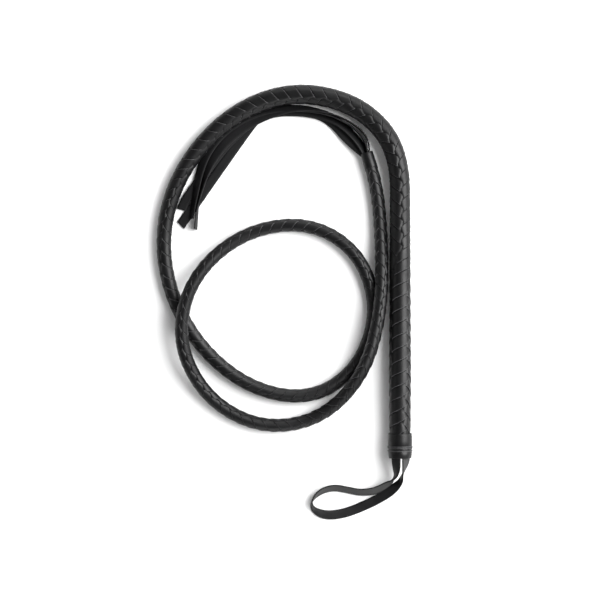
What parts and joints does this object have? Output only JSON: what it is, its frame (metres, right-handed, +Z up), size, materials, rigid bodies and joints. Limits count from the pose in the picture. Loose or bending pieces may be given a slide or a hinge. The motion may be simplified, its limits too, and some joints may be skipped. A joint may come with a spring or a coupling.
{
  "type": "riding crop",
  "caption": "Plaited leather whip with a stiff braided handle, a flat wrist strap, a long tapering braided lash and loose flat tails.",
  "frame": {"origin": "on the surface the whip lies on, under the middle of the stiff handle", "axes": "+Y along the handle from the wrist strap towards the lash, +Z up from the surface, the lash coiled towards -X"},
  "size_m": [0.2411, 0.4056, 0.0297],
  "materials": {
    "plait": "satin black strap leather, faint grain, worn edges",
    "collar": "smooth black leather, satin",
    "wrist_strap": "satin black flat strap, raw cut edges",
    "tail": "satin black grain side, duller flesh side, raw cut edges",
    "thread": "waxed black thread",
    "core": "hidden core, matt black"
  },
  "bodies": {
    "handle": {"handle_rod": "core", "handle_padding": "core", "plait_strap_1": "plait", "plait_strap_2": "plait", "plait_strap_3": "plait", "plait_strap_4": "plait", "butt_bolster": "core", "butt_collar": "collar", "butt_thread": "thread", "strap_tab_left": "wrist_strap", "strap_tab_right": "wrist_strap"},
    "lash": {"neck_core": "core", "neck_plait": "plait", "lash_1": "plait", "lash_2": "plait", "lash_3": "plait", "lash_4": "plait", "lash_5": "plait", "lash_6": "plait", "lash_7": "plait", "tip_collar": "collar", "tail_1": "tail", "tail_2": "tail", "tail_3": "tail", "tail_4": "tail"},
    "wrist_loop": {"strap_bend_left": "wrist_strap", "strap_bend_right": "wrist_strap", "wrist_loop": "wrist_strap"}
  },
  "joints": [
    {"name": "lash_swing", "type": "hinge", "parent": "handle", "child": "lash", "pos_m": [0, 0.1315, 0.0119], "axis": [0, 0, 1], "range_deg": [-40, 0], "deforming": ["neck_core", "neck_plait"]},
    {"name": "wrist_strap_swing", "type": "hinge", "parent": "handle", "child": "wrist_loop", "pos_m": [-0.003, -0.1425, 0.009], "axis": [0, 0, 1], "range_deg": [-20, 40], "deforming": ["strap_bend_left", "strap_bend_right"]}
  ]
}
